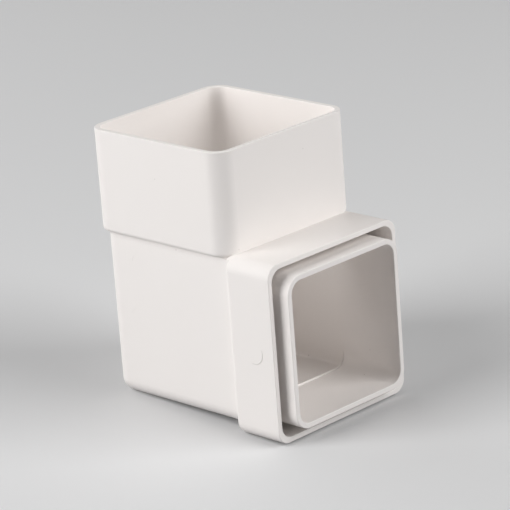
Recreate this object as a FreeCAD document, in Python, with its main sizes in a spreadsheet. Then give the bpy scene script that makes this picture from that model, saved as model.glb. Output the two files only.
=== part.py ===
import FreeCAD, Part
import math
import os
import re
import Sketcher

# Right-angle bend for a square plastic downpipe, moulded in one piece. Sizes are in millimetres.
# The origin is the centre of the ledge that the upper pipe stands on: +Z runs up the socket and +X
# out of the outlet, where the lower pipe's wall slides into the gap between the spigot and the shroud.

DIMENSIONS = (
    ("pipe_width", 65.0, "outside of the square pipe"),
    ("pipe_wall", 2.0, "wall of the pipe"),
    ("fit_clearance", 0.2, "room round the outside of the pipe, each side"),
    ("spigot_clearance", 0.65, "room between the spigot and the inside of the pipe, each side"),
    ("socket_depth", 38.2, "rim of the socket above the ledge"),
    ("socket_wall", 2.15, "wall of the socket"),
    ("socket_corner", 7.4, "outside corner radius of the socket"),
    ("ledge_thickness", 2.3, "underside of the socket below the ledge"),
    ("ledge_round", 1.8, "rounding under the socket"),
    ("neck_depth", 2.7, "foot of the body's neck below the ledge"),
    ("body_wall", 2.2, "walls and floor of the body"),
    ("body_round", 5.8, "outside rounding of the body's back and floor"),
    ("chamber_round", 1.2, "inside rounding of the body's chamber"),
    ("floor_step", 1.8, "floor of the body below the floor of the spigot"),
    ("shroud_drop", 1.4, "top of the shroud below the ledge"),
    ("shroud_wall", 2.0, "wall of the shroud"),
    ("shroud_corner", 5.2, "outside corner radius of the shroud"),
    ("shroud_bore_corner", 4.9, "inside corner radius of the shroud"),
    ("shroud_length", 21.95, "rim of the shroud to the back of its heel"),
    ("front_wall", 2.7, "wall between the body's chamber and the back of the heel"),
    ("heel_thickness", 2.0, "heel that closes the gap behind the pipe's end"),
    ("heel_round", 1.8, "rounding of the heel's outer edge"),
    ("spigot_reach", 4.85, "front of the spigot beyond the shroud's rim"),
    ("spigot_wall", 2.1, "wall of the spigot"),
    ("spigot_corner", 7.0, "outside corner radius of the spigot"),
    ("rim_round", 0.3, "rounding of the three rims"),
)

# Lengths that follow from the driving dimensions
SLEEVE_BORE = "(pipe_width + 2 * fit_clearance)"
SOCKET_WIDTH = f"({SLEEVE_BORE} + 2 * socket_wall)"
SHROUD_WIDTH = f"({SLEEVE_BORE} + 2 * shroud_wall)"
PIPE_BORE = "(pipe_width - 2 * pipe_wall)"
BODY_WIDTH = f"({PIPE_BORE} + 2 * body_wall)"
SPIGOT_WIDTH = f"({PIPE_BORE} - 2 * spigot_clearance)"
SPIGOT_BORE = f"({SPIGOT_WIDTH} - 2 * spigot_wall)"
OUTLET_DROP = f"(shroud_drop + {SHROUD_WIDTH} / 2)"
FLOOR_DEPTH = f"({OUTLET_DROP} + {SPIGOT_BORE} / 2 + floor_step)"
HEEL_BACK = f"({PIPE_BORE} / 2 + front_wall)"
SHROUD_FACE = f"({HEEL_BACK} + shroud_length)"
SPIGOT_FACE = f"({SHROUD_FACE} + spigot_reach)"

# A sketch's own origin, and how close two places count as one
ORIGIN = (-1, 1)
SAME_PLACE = 1e-4

doc = FreeCAD.newDocument("DownpipeBend")
sheet = doc.addObject("Spreadsheet::Sheet", "Sizes")
for row, (alias, value, meaning) in enumerate(DIMENSIONS, start=1):
    sheet.set(f"A{row}", meaning)
    sheet.set(f"B{row}", str(value))
    sheet.setAlias(f"B{row}", alias)
doc.recompute()

ALIASES = re.compile(r"\b(" + "|".join(alias for alias, _, _ in DIMENSIONS) + r")\b")


def bind(item, target, length):
    """Tie a property or constraint of an object to the cells that the length names."""
    item.setExpression(target, ALIASES.sub(r"Sizes.\1", length))


def new_body(label):
    body = doc.addObject("PartDesign::Body", label)
    body.Label = label
    return body


def new_sketch(body, name, plane, out="0", up="0"):
    """A sketch on one of the body's origin planes, moved out along its normal and up its own Y."""
    sketch = body.newObject("Sketcher::SketchObject", name)
    support = next(item for item in body.Origin.OriginFeatures if item.Role == plane)
    sketch.AttachmentSupport = [(support, "")]
    sketch.MapMode = "FlatFace"
    bind(sketch, "AttachmentOffset.Base.z", out)
    bind(sketch, "AttachmentOffset.Base.y", up)
    return sketch


def start_of(item):
    """The first end of a sketch's line or arc, as constraints number it."""
    return item, 1


def end_of(item):
    return item, 2


def add_size(sketch, name, length, *rule):
    """A named dimension of the sketch, bound to its length."""
    index = sketch.addConstraint(Sketcher.Constraint(*rule))
    sketch.renameConstraint(index, name)
    bind(sketch, f"Constraints.{name}", length)


def join_sharp(sketch, sides):
    for side, after in zip(sides, sides[1:] + sides[:1]):
        sketch.addConstraint(Sketcher.Constraint("Coincident", *end_of(side), *start_of(after)))


def join_round(sketch, sides, corner, inner, radius):
    """Quarter circles of one radius between the sides, which stop short of the corners."""
    normal = FreeCAD.Vector(0, 0, 1)
    arcs = []
    for turn, (x, y) in enumerate(((1, -1), (1, 1), (-1, 1), (-1, -1))):
        circle = Part.Circle(FreeCAD.Vector(x * inner, y * inner), normal, radius)
        first = math.radians(90 * (turn - 1))
        arcs.append(sketch.addGeometry(Part.ArcOfCircle(circle, first, first + math.radians(90))))
    for side, arc, after in zip(sides, arcs, sides[1:] + sides[:1]):
        sketch.addConstraint(Sketcher.Constraint("Tangent", *end_of(side), *start_of(arc)))
        sketch.addConstraint(Sketcher.Constraint("Tangent", *end_of(arc), *start_of(after)))
    for arc in arcs[1:]:
        sketch.addConstraint(Sketcher.Constraint("Equal", arcs[0], arc))
    add_size(sketch, "corner", corner, "Radius", arcs[0], radius)


def draw_rectangle(sketch, left, right, below, above, corner=None):
    """A rectangle given by its four distances from the sketch's origin, sharp or with round corners.

    It is drawn as the socket's own bore, and its bound sizes then reshape it.
    """
    half = sheet.pipe_width / 2
    radius = sheet.socket_corner if corner else 0
    inner = half - radius
    ends = (
        ((-inner, -half), (inner, -half)),
        ((half, -inner), (half, inner)),
        ((inner, half), (-inner, half)),
        ((-half, inner), (-half, -inner)),
    )
    lines = [Part.LineSegment(FreeCAD.Vector(*start), FreeCAD.Vector(*end)) for start, end in ends]
    sides = [sketch.addGeometry(line) for line in lines]
    for side, direction in zip(sides, ("Horizontal", "Vertical") * 2):
        sketch.addConstraint(Sketcher.Constraint(direction, side))
    if corner:
        join_round(sketch, sides, corner, inner, radius)
    else:
        join_sharp(sketch, sides)
    bottom, right_side, top, left_side = sides
    add_size(sketch, "left", left, "DistanceX", *start_of(left_side), *ORIGIN, half)
    add_size(sketch, "right", right, "DistanceX", *ORIGIN, *start_of(right_side), half)
    add_size(sketch, "below", below, "DistanceY", *start_of(bottom), *ORIGIN, half)
    add_size(sketch, "above", above, "DistanceY", *ORIGIN, *start_of(top), half)


def draw_square(sketch, width, corner=None):
    half = f"{width} / 2"
    draw_rectangle(sketch, half, half, half, half, corner)


def add_extrusion(body, kind, name, sketch, length):
    """A Pad along the sketch's normal, or a Pocket against it."""
    feature = body.newObject(f"PartDesign::{kind}", name)
    feature.Profile = sketch
    feature.Type = "Length"
    bind(feature, "Length", length)
    doc.recompute()
    return feature


def add_round(body, name, base, radius, wanted):
    """Round every edge of the base whose bounding box passes the test."""
    feature = body.newObject("PartDesign::Fillet", name)
    edges = [f"Edge{i}" for i, edge in enumerate(base.Shape.Edges, start=1) if wanted(edge.BoundBox)]
    feature.Base = (base, edges)
    bind(feature, "Radius", radius)
    doc.recompute()
    return feature


def add_boolean(body, name, kind, others):
    feature = body.newObject("PartDesign::Boolean", name)
    feature.Type = kind
    feature.setObjects(others)
    doc.recompute()
    return feature


def level(value, plane):
    return abs(value - plane) < SAME_PLACE


def make_tower():
    """Upright body, square at the front where the shroud's heel closes it, and its neck in the socket."""
    body = new_body("tower")
    plan = new_sketch(body, "TowerPlan", "XY_Plane", out=f"-({FLOOR_DEPTH} + body_wall)")
    side = f"{BODY_WIDTH} / 2"
    draw_rectangle(plan, side, f"{HEEL_BACK} + heel_round", side, side)
    pad = add_extrusion(body, "Pad", "TowerPad", plan, f"{FLOOR_DEPTH} + body_wall - neck_depth")
    box = pad.Shape.BoundBox

    def back_or_floor(edge):
        upright_back = level(edge.XMax, box.XMin) and edge.ZLength > edge.YLength
        floor_edge = level(edge.ZMax, box.ZMin) and not level(edge.XMin, box.XMax)
        return upright_back or floor_edge

    add_round(body, "TowerRound", pad, "body_round", back_or_floor)
    neck = new_sketch(body, "NeckPlan", "XY_Plane", out="-neck_depth")
    draw_rectangle(neck, side, f"{SOCKET_WIDTH} / 2", side, side, "body_round")
    add_extrusion(body, "Pad", "NeckPad", neck, "neck_depth")
    return body


def make_shroud():
    """Block of the shroud, rounded round the back of its heel."""
    body = new_body("shroud")
    section = new_sketch(body, "ShroudSection", "YZ_Plane", out=HEEL_BACK, up=f"-{OUTLET_DROP}")
    draw_square(section, SHROUD_WIDTH, "shroud_corner")
    pad = add_extrusion(body, "Pad", "ShroudPad", section, "shroud_length")
    back = pad.Shape.BoundBox.XMin
    add_round(body, "HeelRound", pad, "heel_round", lambda edge: level(edge.XMax, back))
    return body


def make_chamber():
    """Space that turns the water: the pipe's own bore carried down to a round-edged floor."""
    body = new_body("chamber")
    plan = new_sketch(body, "ChamberPlan", "XY_Plane", out=f"-{FLOOR_DEPTH}")
    draw_square(plan, PIPE_BORE)
    pad = add_extrusion(body, "Pad", "ChamberPad", plan, f"{FLOOR_DEPTH} + socket_depth")
    roof = pad.Shape.BoundBox.ZMax
    add_round(body, "ChamberRound", pad, "chamber_round", lambda edge: not level(edge.ZMin, roof))
    return body


def make_elbow():
    body = new_body("elbow")
    plan = new_sketch(body, "SocketPlan", "XY_Plane", out="-ledge_thickness")
    draw_square(plan, SOCKET_WIDTH, "socket_corner")
    pad = add_extrusion(body, "Pad", "SocketPad", plan, "ledge_thickness + socket_depth")
    underside = pad.Shape.BoundBox.ZMin
    add_round(body, "LedgeRound", pad, "ledge_round", lambda edge: level(edge.ZMax, underside))
    add_boolean(body, "OutsideUnion", "Fuse", [make_tower(), make_shroud()])

    bore = new_sketch(body, "SocketBore", "XY_Plane", out="socket_depth")
    draw_square(bore, SLEEVE_BORE, "socket_corner - socket_wall")
    add_extrusion(body, "Pocket", "SocketPocket", bore, "socket_depth")

    gap = new_sketch(body, "ShroudBore", "YZ_Plane", out=SHROUD_FACE, up=f"-{OUTLET_DROP}")
    draw_square(gap, SLEEVE_BORE, "shroud_bore_corner")
    shroud = add_extrusion(body, "Pocket", "ShroudPocket", gap, "shroud_length - heel_thickness")
    shroud_face = shroud.Shape.BoundBox.XMax

    spigot = new_sketch(body, "SpigotSection", "YZ_Plane", out=HEEL_BACK, up=f"-{OUTLET_DROP}")
    draw_square(spigot, SPIGOT_WIDTH, "spigot_corner")
    add_extrusion(body, "Pad", "SpigotPad", spigot, "shroud_length + spigot_reach")

    mouth = new_sketch(body, "SpigotBore", "YZ_Plane", out=SPIGOT_FACE, up=f"-{OUTLET_DROP}")
    draw_square(mouth, SPIGOT_BORE, "spigot_corner - spigot_wall")
    add_extrusion(body, "Pocket", "SpigotPocket", mouth, SPIGOT_FACE)
    hollow = add_boolean(body, "ChamberCut", "Cut", [make_chamber()])
    socket_rim = hollow.Shape.BoundBox.ZMax
    spigot_face = hollow.Shape.BoundBox.XMax

    def on_a_rim(edge):
        on_shroud = level(edge.XMin, shroud_face) and level(edge.XMax, shroud_face)
        return level(edge.ZMin, socket_rim) or level(edge.XMin, spigot_face) or on_shroud

    add_round(body, "RimRound", hollow, "rim_round", on_a_rim)
    return body


elbow = make_elbow()
doc.recompute()

for item in doc.Objects:
    if "Invalid" in item.State or "Error" in item.State:
        raise RuntimeError(f"{item.Label} did not build: {item.State}")
shape = elbow.Shape
if shape.isNull() or not shape.isValid() or len(shape.Solids) != 1:
    raise RuntimeError("the elbow is not one valid solid")

os.makedirs("parts", exist_ok=True)
shape.exportStep(f"parts/{elbow.Label}.step")
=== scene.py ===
"""Looks of the square downpipe elbow: white moulded plastic with its marks, on a floor in soft light.

Lengths are in metres, apart from those whose comment says millimetres.
"""
import math

import bmesh
import bpy
from mathutils import Matrix, Vector


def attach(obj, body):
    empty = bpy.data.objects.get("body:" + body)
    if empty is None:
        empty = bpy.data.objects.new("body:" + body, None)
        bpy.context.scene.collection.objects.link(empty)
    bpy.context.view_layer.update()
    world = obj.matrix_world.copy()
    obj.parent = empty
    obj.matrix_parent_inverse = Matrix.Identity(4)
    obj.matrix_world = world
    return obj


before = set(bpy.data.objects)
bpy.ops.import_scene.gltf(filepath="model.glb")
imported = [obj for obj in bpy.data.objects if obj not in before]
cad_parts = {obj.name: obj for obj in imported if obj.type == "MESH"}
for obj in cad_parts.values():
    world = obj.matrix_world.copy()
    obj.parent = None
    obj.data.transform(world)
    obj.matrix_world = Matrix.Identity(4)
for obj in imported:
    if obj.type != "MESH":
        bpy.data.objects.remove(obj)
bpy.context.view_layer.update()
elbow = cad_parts["elbow"]

MM = 0.001

# Plastic: a slightly warm white, the yellower white of its faint clouds, and the grey of specks in it, which
# is also painted over a pin ring as shade
UPVC_WHITE = (0.978, 0.938, 0.912, 1.0)
UPVC_CREAM = (0.970, 0.925, 0.892, 1.0)
SPECK_AND_SHADE_GREY = (0.42, 0.39, 0.36, 1.0)

# Its gloss and how far that varies, the sizes of its clouds, the fine peel and slow sinks of its skin with
# their heights, and the grit in it: how far apart, how big and how strong
UPVC_IOR = 1.5
GLOSS_ROUGHNESS = 0.5
GLOSS_SPREAD = 0.08
CLOUD_SIZE = 35 * MM
GLOSS_SIZE = CLOUD_SIZE / 3
PEEL_SIZE = 1.6 * MM
PEEL_HEIGHT = 0.003 * MM
SINK_SIZE = 22 * MM
SINK_HEIGHT = 0.05 * MM
GRIT_SIZE = 9 * MM
GRIT_RADIUS = 0.12 * MM
GRIT_SHARE = 0.25

# Specks that show on the faces: place in millimetres, then how strongly each shows
SPECK_RADIUS = 0.4 * MM
SPECKS = (
    ((0.4, -34.85, 23.5), 0.35),
    ((34.85, 9.1, 29.0), 0.35),
    ((6.3, -32.7, -3.6), 0.50),
    ((34.85, -28.0, 0.2), 0.50),
    ((44.7, 27.75, -54.5), 0.35),
    ((9.34, 30.41, -64.9), 0.70),
    ((44.16, 24.38, -63.6), 0.60),
)

# Rings left by round ejector pins: centre across and up on a side face, that face's distance out, first and
# last degree of the part that shows, its height, all lengths in millimetres, and the share of grey painted on
# it as shade
PIN_RADIUS = 4.4
RING_WIDTH = 0.5 * MM
RING_STEP = 0.3 * MM
PIN_RINGS = (
    ((45.1, -35.85), 34.7, (-112, 25), 0.145, 0.25),
    ((-14.1, -13.2), 32.7, (115, 195), 0.03, 0.0),
    ((-16.5, -35.2), 32.7, (100, 175), 0.03, 0.0),
)

# Flash at the inner end of the outlet's bore: the bore's half width and corner, its depth below the ledge,
# the end's distance out, the flash's height and thickness where it is tallest, and its climb up both sides
BORE_HALF = 27.75 * MM
BORE_CORNER = 4.9 * MM
BORE_DROP = 36.1 * MM
BORE_END = 30.5 * MM
FLASH_HEIGHT = 0.8 * MM
FLASH_THICKNESS = 0.6 * MM
FLASH_CLIMB = 2 * MM
FLASH_STEP = 0.6 * MM

# Webs that fill the corners between the socket's foot and the shroud's top: the middle of the socket's left
# corner, the crease's radius about it, its first and last degree, its height and how far it falls, all in
# millimetres, then the web's reach out and up and how far its slanting sides are hollowed
WEB_CENTRE = (27.45, -27.45)
WEB_RADIUS = 7.2
WEB_DEGREES = (14, -46)
WEB_HEIGHT = -1.4
WEB_FALL = 1.5
WEB_OUT = 1.7 * MM
WEB_UP = 1.1 * MM
WEB_WAIST = 0.5
WEB_POINTS = 4
WEB_STEP = 0.4 * MM

# Ridges with a round section: its points, and the waist between them that makes it round
ROUND_POINTS = 5
ROUND_WAIST = 1.0

# Every ridge: the share of its thickness that is left at its ends
RIDGE_END = 0.04

# Arcs: degrees from point to point, and the fewest steps
ARC_STEP = 5
ARC_FEWEST = 8

# Floor: pale matt board, wide enough to fill every view, that throws little light back on what stands on it
FLOOR_GREY = (0.80, 0.80, 0.80, 1.0)
FLOOR_CLOUD = (0.77, 0.77, 0.775, 1.0)
FLOOR_CLOUD_SIZE = 0.4
FLOOR_BOUNCE = (0.30, 0.30, 0.31, 1.0)
FLOOR_ROUGHNESS = 0.75
FLOOR_HALF = 10.0

# Camera: where it stands, in degrees and metres, and its lens for a square picture
CAMERA_YAW = 45.307
CAMERA_PITCH = 18.459
CAMERA_ROLL = -4.379
CAMERA_DISTANCE = 1.1702
CAMERA_ASIDE = 11.494 * MM
CAMERA_RISE = -15.440 * MM
LENS = 217.93
SENSOR = 36.0

# Lamps' distance from the elbow, and the room's light between them
LAMP_DISTANCE = 2.0
ROOM_GREY = (0.08, 0.08, 0.08, 1.0)


class Socket:
    """One output of a node, on which plain arithmetic adds Math nodes."""

    def __init__(self, tree, socket):
        self.tree = tree
        self.socket = socket

    def maths(self, operation, first, second):
        return self.tree.node("ShaderNodeMath", {"operation": operation}, {0: first, 1: second})

    def __add__(self, other):
        return self.maths("ADD", self, other)

    def __radd__(self, other):
        return self.maths("ADD", other, self)

    def __sub__(self, other):
        return self.maths("SUBTRACT", self, other)

    def __rsub__(self, other):
        return self.maths("SUBTRACT", other, self)

    def __mul__(self, other):
        return self.maths("MULTIPLY", self, other)

    def __rmul__(self, other):
        return self.maths("MULTIPLY", other, self)

    def __pow__(self, other):
        return self.maths("POWER", self, other)

    def __rpow__(self, other):
        return self.maths("POWER", other, self)

    def __lt__(self, other):
        return self.maths("LESS_THAN", self, other)

    def __gt__(self, other):
        return self.maths("GREATER_THAN", self, other)


class Tree:
    """Nodes wired together for one finish or one shape."""

    def __init__(self, nodes):
        self.nodes = nodes

    def node(self, kind, settings=None, sockets=None, out=0):
        """Adds a node with its settings, then its sockets' values or links, and gives the named output."""
        made = self.nodes.nodes.new(kind)
        for name, value in (settings or {}).items():
            setattr(made, name, value)
        for name, value in (sockets or {}).items():
            named = made.inputs if isinstance(name, int) else {s.name: s for s in made.inputs if s.enabled}
            if isinstance(value, Socket):
                self.nodes.links.new(value.socket, named[name])
            else:
                named[name].default_value = value
        given = made.outputs if isinstance(out, int) else {s.name: s for s in made.outputs if s.enabled}
        return Socket(self, given[out])


class Finish(Tree):
    """A material made of nodes."""

    def __init__(self, name):
        self.material = bpy.data.materials.new(name)
        self.material.use_nodes = True
        self.material.node_tree.nodes.clear()
        super().__init__(self.material.node_tree)

    def place(self):
        return self.node("ShaderNodeTexCoord", out="Object")

    def noise(self, size, detail=2.0):
        """Soft noise from 0 to 1, with spots of about that size."""
        sockets = {"Vector": self.place(), "Scale": 1 / size, "Detail": detail}
        return self.node("ShaderNodeTexNoise", {}, sockets, "Fac")

    def mix(self, share, first, second):
        """A colour between two others."""
        sockets = {"Factor": share, "A": first, "B": second}
        return self.node("ShaderNodeMix", {"data_type": "RGBA"}, sockets, "Result")

    def dot(self, spot, radius):
        """1 at a spot, fading to 0 at the radius."""
        ends = {0: self.place(), 1: spot}
        away = self.node("ShaderNodeVectorMath", {"operation": "DISTANCE"}, ends, "Value")
        sockets = {"Value": away, "From Min": radius, "From Max": 0.0}
        return self.node("ShaderNodeMapRange", {"interpolation_type": "SMOOTHSTEP"}, sockets, "Result")

    def surface(self, sockets):
        """The shader that the finish ends in."""
        shader = self.node("ShaderNodeBsdfPrincipled", {}, sockets, "BSDF")
        output = self.nodes.nodes.new("ShaderNodeOutputMaterial")
        self.nodes.links.new(shader.socket, output.inputs["Surface"])
        return self.material


class Shape(Tree):
    """A shape that nodes make along a drawn path, with named sizes."""

    def __init__(self, name, sizes):
        super().__init__(bpy.data.node_groups.new(name, "GeometryNodeTree"))
        ports = self.nodes.interface
        ports.new_socket("Shape", in_out="OUTPUT", socket_type="NodeSocketGeometry")
        ports.new_socket("Path", in_out="INPUT", socket_type="NodeSocketGeometry")
        self.ports = {label: ports.new_socket(label, in_out="INPUT", socket_type=kind).identifier
                      for label, kind in sizes.items()}
        self.given = self.nodes.nodes.new("NodeGroupInput")

    def size(self, label):
        return Socket(self, self.given.outputs[label])

    def finish_with(self, geometry):
        """Ends the nodes in plain mesh with the piece's own material."""
        whole = self.node("GeometryNodeRealizeInstances", {}, {"Geometry": geometry})
        coat = {"Geometry": whole, "Material": self.size("Finish")}
        coated = self.node("GeometryNodeSetMaterial", {}, coat)
        output = self.nodes.nodes.new("NodeGroupOutput")
        self.nodes.links.new(coated.socket, output.inputs["Shape"])

    def make(self, name, path, values):
        """A piece along the path with these sizes, turned into a plain mesh."""
        piece = bpy.data.objects.new(name, path)
        bpy.context.scene.collection.objects.link(piece)
        modifier = piece.modifiers.new(name, "NODES")
        modifier.node_group = self.nodes
        for label, value in values.items():
            modifier[self.ports[label]] = value
        seen = piece.evaluated_get(bpy.context.evaluated_depsgraph_get())
        mesh = bpy.data.meshes.new_from_object(seen)
        piece.modifiers.remove(modifier)
        piece.data = mesh
        mesh.name = name
        return piece


def white_upvc(name, painted_shade=0.0):
    """Smooth moulded plastic with faint colour clouds, a few specks, uneven gloss and a slightly wavy skin.

    Its second argument is a share of speck grey painted all over the surface as shade.
    """
    finish = Finish(name)
    colour = finish.mix(finish.noise(CLOUD_SIZE), UPVC_WHITE, UPVC_CREAM)
    cell = {"Vector": finish.place(), "Scale": 1 / GRIT_SIZE}
    grit = finish.node("ShaderNodeTexVoronoi", {}, cell, "Distance") < GRIT_RADIUS / GRIT_SIZE
    # grey painted evenly all over as shade, then the plastic's own grit and specks
    specks = painted_shade + grit * GRIT_SHARE
    for spot, strength in SPECKS:
        specks = specks + finish.dot(Vector(spot) * MM, SPECK_RADIUS) * strength
    colour = finish.mix(specks, colour, SPECK_AND_SHADE_GREY)
    roughness = GLOSS_ROUGHNESS + (finish.noise(GLOSS_SIZE) - 0.5) * GLOSS_SPREAD
    height = finish.noise(PEEL_SIZE) * PEEL_HEIGHT + finish.noise(SINK_SIZE, 0.0) * SINK_HEIGHT
    skin = finish.node("ShaderNodeBump", {}, {"Height": height, "Distance": 1.0}, "Normal")
    return finish.surface({"Base Color": colour, "Roughness": roughness, "IOR": UPVC_IOR, "Normal": skin})


def pale_board():
    """Matt board under the elbow, pale where it is seen and dimmer in the light it throws back."""
    finish = Finish("pale_board")
    colour = finish.mix(finish.noise(FLOOR_CLOUD_SIZE), FLOOR_GREY, FLOOR_CLOUD)
    seen = finish.node("ShaderNodeLightPath", out="Is Camera Ray")
    mirrored = finish.node("ShaderNodeLightPath", out="Is Glossy Ray")
    through = finish.node("ShaderNodeLightPath", out="Is Transmission Ray")
    colour = finish.mix(seen + mirrored + through, FLOOR_BOUNCE, colour)
    return finish.surface({"Base Color": colour, "Roughness": FLOOR_ROUGHNESS})


def raised_line():
    """A thin ridge along a path drawn flat, tapered to both ends and then turned into its place.

    Across is half its width in the drawing's plane and Out its height above and below that plane. Its section
    has a number of Points with a Waist between them, which is 1 for a round section. Round shades it as one
    round surface.
    """
    sizes = {"Step": "NodeSocketFloat", "Across": "NodeSocketFloat", "Out": "NodeSocketFloat",
             "Points": "NodeSocketInt", "Waist": "NodeSocketFloat", "Round": "NodeSocketBool",
             "Turn": "NodeSocketRotation", "Finish": "NodeSocketMaterial"}
    shape = Shape("raised_line", sizes)
    path = shape.node("GeometryNodeMeshToCurve", {}, {"Mesh": shape.size("Path")})
    steps = {"Curve": path, "Length": shape.size("Step")}
    path = shape.node("GeometryNodeResampleCurve", {"mode": "LENGTH"}, steps)
    path = shape.node("GeometryNodeSetCurveNormal", {"mode": "Z_UP"}, {"Curve": path})
    star = {"Points": shape.size("Points"), "Inner Radius": shape.size("Waist"), "Outer Radius": 1.0}
    star = shape.node("GeometryNodeCurveStar", {}, star, "Curve")
    spread = {"X": shape.size("Across"), "Y": shape.size("Out"), "Z": 1.0}
    spread = shape.node("ShaderNodeCombineXYZ", {}, spread)
    outline = shape.node("GeometryNodeTransform", {}, {"Geometry": star, "Scale": spread})
    along = shape.node("GeometryNodeSplineParameter", out="Factor")
    bulge = (4.0 * along * (1.0 - along)) ** 0.5
    taper = RIDGE_END + (1.0 - RIDGE_END) * bulge
    ridge = {"Curve": path, "Profile Curve": outline, "Scale": taper, "Fill Caps": True}
    ridge = shape.node("GeometryNodeCurveToMesh", {}, ridge)
    turned = shape.node("GeometryNodeTransform", {}, {"Geometry": ridge, "Rotation": shape.size("Turn")})
    shading = {"Geometry": turned, "Shade Smooth": shape.size("Round")}
    shape.finish_with(shape.node("GeometryNodeSetShadeSmooth", {}, shading))
    return shape


def draw_paths(name, lines):
    """Paths as rows of points joined by edges."""
    points = [point for line in lines for point in line]
    edges = []
    first = 0
    for line in lines:
        edges += [(first + i, first + i + 1) for i in range(len(line) - 1)]
        first += len(line)
    drawing = bpy.data.meshes.new(name)
    drawing.from_pydata(points, edges, [])
    return drawing


def arc(centre, radius, degrees, out=0.0, fall=0.0):
    """Points from the first to the last degree of an arc, at a height that falls along the way."""
    first, last = degrees
    count = max(ARC_FEWEST, round(abs(last - first) / ARC_STEP))
    points = []
    for share in (i / count for i in range(count + 1)):
        turn = math.radians(first + (last - first) * share)
        across = centre[0] + radius * math.cos(turn)
        up = centre[1] + radius * math.sin(turn)
        points.append((across, up, out - fall * share))
    return points


def add_pin_rings(line, finish):
    """Hairline rings on the side face at -Y, where ejector pins met the mould's wall."""
    for number, (centre, face, degrees, height, painted_shade) in enumerate(PIN_RINGS, start=1):
        path = arc((centre[0] * MM, centre[1] * MM), PIN_RADIUS * MM, degrees, face * MM)
        drawing = draw_paths(f"pin_ring_path_{number}", [path])
        turn = (math.radians(90), 0, 0)
        # a ring with a share of grey gets its own finish, with that grey painted on as the shade of its flank
        coat = white_upvc(f"pin_ring_{number}_upvc", painted_shade) if painted_shade else finish
        values = {"Step": RING_STEP, "Across": RING_WIDTH / 2, "Out": height * MM, "Points": ROUND_POINTS,
                  "Waist": ROUND_WAIST, "Round": True, "Turn": turn, "Finish": coat}
        ring = line.make(f"pin_ring_{number}", drawing, values)
        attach(ring, "root")


def add_core_flash(line, finish):
    """Thin flash on the inner edge of the outlet's bore, along its floor and a little way up both sides."""
    inner = BORE_HALF - BORE_CORNER
    low = -BORE_DROP - inner
    out = BORE_END + FLASH_THICKNESS / 2
    path = [(-BORE_HALF, low + FLASH_CLIMB, out)]
    path += arc((-inner, low), BORE_CORNER, (180, 270), out)
    path += arc((inner, low), BORE_CORNER, (270, 360), out)
    path += [(BORE_HALF, low + FLASH_CLIMB, out)]
    turn = (math.radians(90), 0, math.radians(90))
    values = {"Step": FLASH_STEP, "Across": FLASH_HEIGHT, "Out": FLASH_THICKNESS / 2, "Points": ROUND_POINTS,
              "Waist": ROUND_WAIST, "Round": True, "Turn": turn, "Finish": finish}
    flash = line.make("core_flash", draw_paths("core_flash_path", [path]), values)
    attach(flash, "root")


def add_corner_webs(line, finish):
    """Small slanting webs where the socket's two front corners stand on the shroud."""
    for name, side in (("left_corner_web", 1), ("right_corner_web", -1)):
        centre = (WEB_CENTRE[0] * MM, WEB_CENTRE[1] * MM * side)
        degrees = [turn * side for turn in WEB_DEGREES]
        path = arc(centre, WEB_RADIUS * MM, degrees, WEB_HEIGHT * MM, WEB_FALL * MM)
        values = {"Step": WEB_STEP, "Across": WEB_OUT, "Out": WEB_UP, "Points": WEB_POINTS,
                  "Waist": WEB_WAIST, "Round": False, "Turn": (0, 0, 0), "Finish": finish}
        web = line.make(name, draw_paths(name + "_path", [path]), values)
        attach(web, "root")


def resting_line(piece):
    """Height of the floor under X 0 and its rise along X, where the piece comes to rest.

    The piece is alike left and right, so its outline from the side is enough.
    """
    places = sorted({(round(v.co.x, 6), round(v.co.z, 6)) for v in piece.data.vertices})
    under = []
    for x, z in places:
        while len(under) > 1:
            (x0, z0), (x1, z1) = under[-2:]
            if (x1 - x0) * (z - z0) > (z1 - z0) * (x - x0):
                break
            under.pop()
        under.append((x, z))
    balance = balance_point(piece)
    for (x0, z0), (x1, z1) in zip(under, under[1:]):
        if x0 <= balance <= x1:
            rise = (z1 - z0) / (x1 - x0)
            return z0 - x0 * rise, rise
    raise ValueError("the piece has no edge to rest on below its balance point")


def balance_point(piece):
    """X of a thin-walled piece's balance point, from the area of its walls."""
    area = 0.0
    moment = 0.0
    for face in piece.data.polygons:
        area += face.area
        moment += face.area * face.center.x
    return moment / area


def make_floor():
    """The board that the elbow rests on, which slopes a little in the elbow's own frame."""
    height, rise = resting_line(elbow)
    shape = bmesh.new()
    half = FLOOR_HALF
    corners = [(-half, -half), (half, -half), (half, half), (-half, half)]
    shape.faces.new([shape.verts.new((x, y, height + rise * x)) for x, y in corners])
    mesh = bpy.data.meshes.new("floor")
    shape.to_mesh(mesh)
    shape.free()
    floor = bpy.data.objects.new("floor", mesh)
    bpy.context.scene.collection.objects.link(floor)
    mesh.materials.append(pale_board())


def direction(azimuth, elevation):
    """Direction from the elbow, both angles in degrees: azimuth 0 is -Y and 90 is +X."""
    turn = math.radians(azimuth)
    rise = math.radians(elevation)
    return Vector((math.sin(turn) * math.cos(rise), -math.cos(turn) * math.cos(rise), math.sin(rise)))


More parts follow.
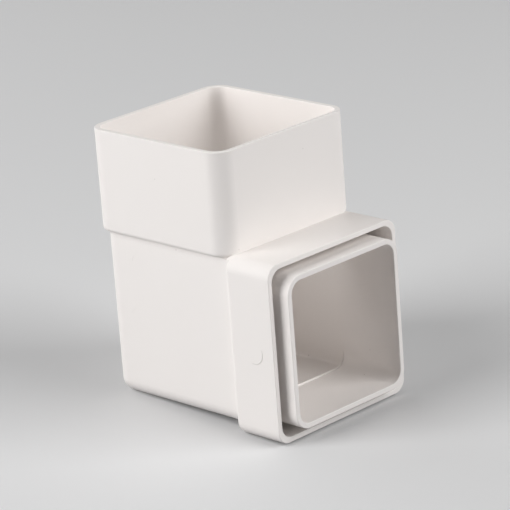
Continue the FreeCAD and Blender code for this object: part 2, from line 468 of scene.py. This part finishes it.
def softbox(name, azimuth, elevation, width, height, power):
    """A large soft lamp that faces the elbow."""
    lamp = bpy.data.lights.new(name, "AREA")
    lamp.shape = "RECTANGLE"
    lamp.size = width
    lamp.size_y = height
    lamp.energy = power
    stand = bpy.data.objects.new(name, lamp)
    away = direction(azimuth, elevation)
    stand.location = away * LAMP_DISTANCE
    stand.rotation_euler = away.to_track_quat("Z", "Y").to_euler()
    bpy.context.scene.collection.objects.link(stand)


def light_room():
    """Three soft lamps in a dim room."""
    softbox("left_softbox", azimuth=-20, elevation=28, width=1.2, height=2.4, power=39.5)
    softbox("right_softbox", azimuth=115, elevation=27, width=1.5, height=1.6, power=29.5)
    softbox("back_softbox", azimuth=270, elevation=25, width=2.4, height=1.0, power=9)
    world = bpy.data.worlds.new("room")
    world.use_nodes = True
    world.node_tree.nodes["Background"].inputs["Color"].default_value = ROOM_GREY
    bpy.context.scene.world = world


def make_camera():
    """The camera, at the photograph's viewing angle."""
    back = direction(CAMERA_YAW, CAMERA_PITCH)
    level = direction(CAMERA_YAW + 90, 0)
    upright = back.cross(level)
    roll = math.radians(CAMERA_ROLL)
    across = level * math.cos(roll) + upright * math.sin(roll)
    up = upright * math.cos(roll) - level * math.sin(roll)
    spot = across * CAMERA_ASIDE + up * CAMERA_RISE + back * CAMERA_DISTANCE
    lens = bpy.data.cameras.new("camera")
    lens.lens = LENS
    lens.sensor_width = SENSOR
    lens.clip_start = CAMERA_DISTANCE / 10
    camera = bpy.data.objects.new("camera", lens)
    turned = Matrix((across, up, back)).transposed().to_4x4()
    camera.matrix_world = Matrix.Translation(spot) @ turned
    bpy.context.scene.collection.objects.link(camera)
    bpy.context.scene.camera = camera


plastic = white_upvc("white_upvc_gloss")
elbow.data.materials.clear()
elbow.data.materials.append(plastic)
ridge_line = raised_line()
add_pin_rings(ridge_line, plastic)
add_core_flash(ridge_line, plastic)
add_corner_webs(ridge_line, plastic)
make_floor()
light_room()
make_camera()
bpy.context.scene.view_settings.view_transform = "Standard"
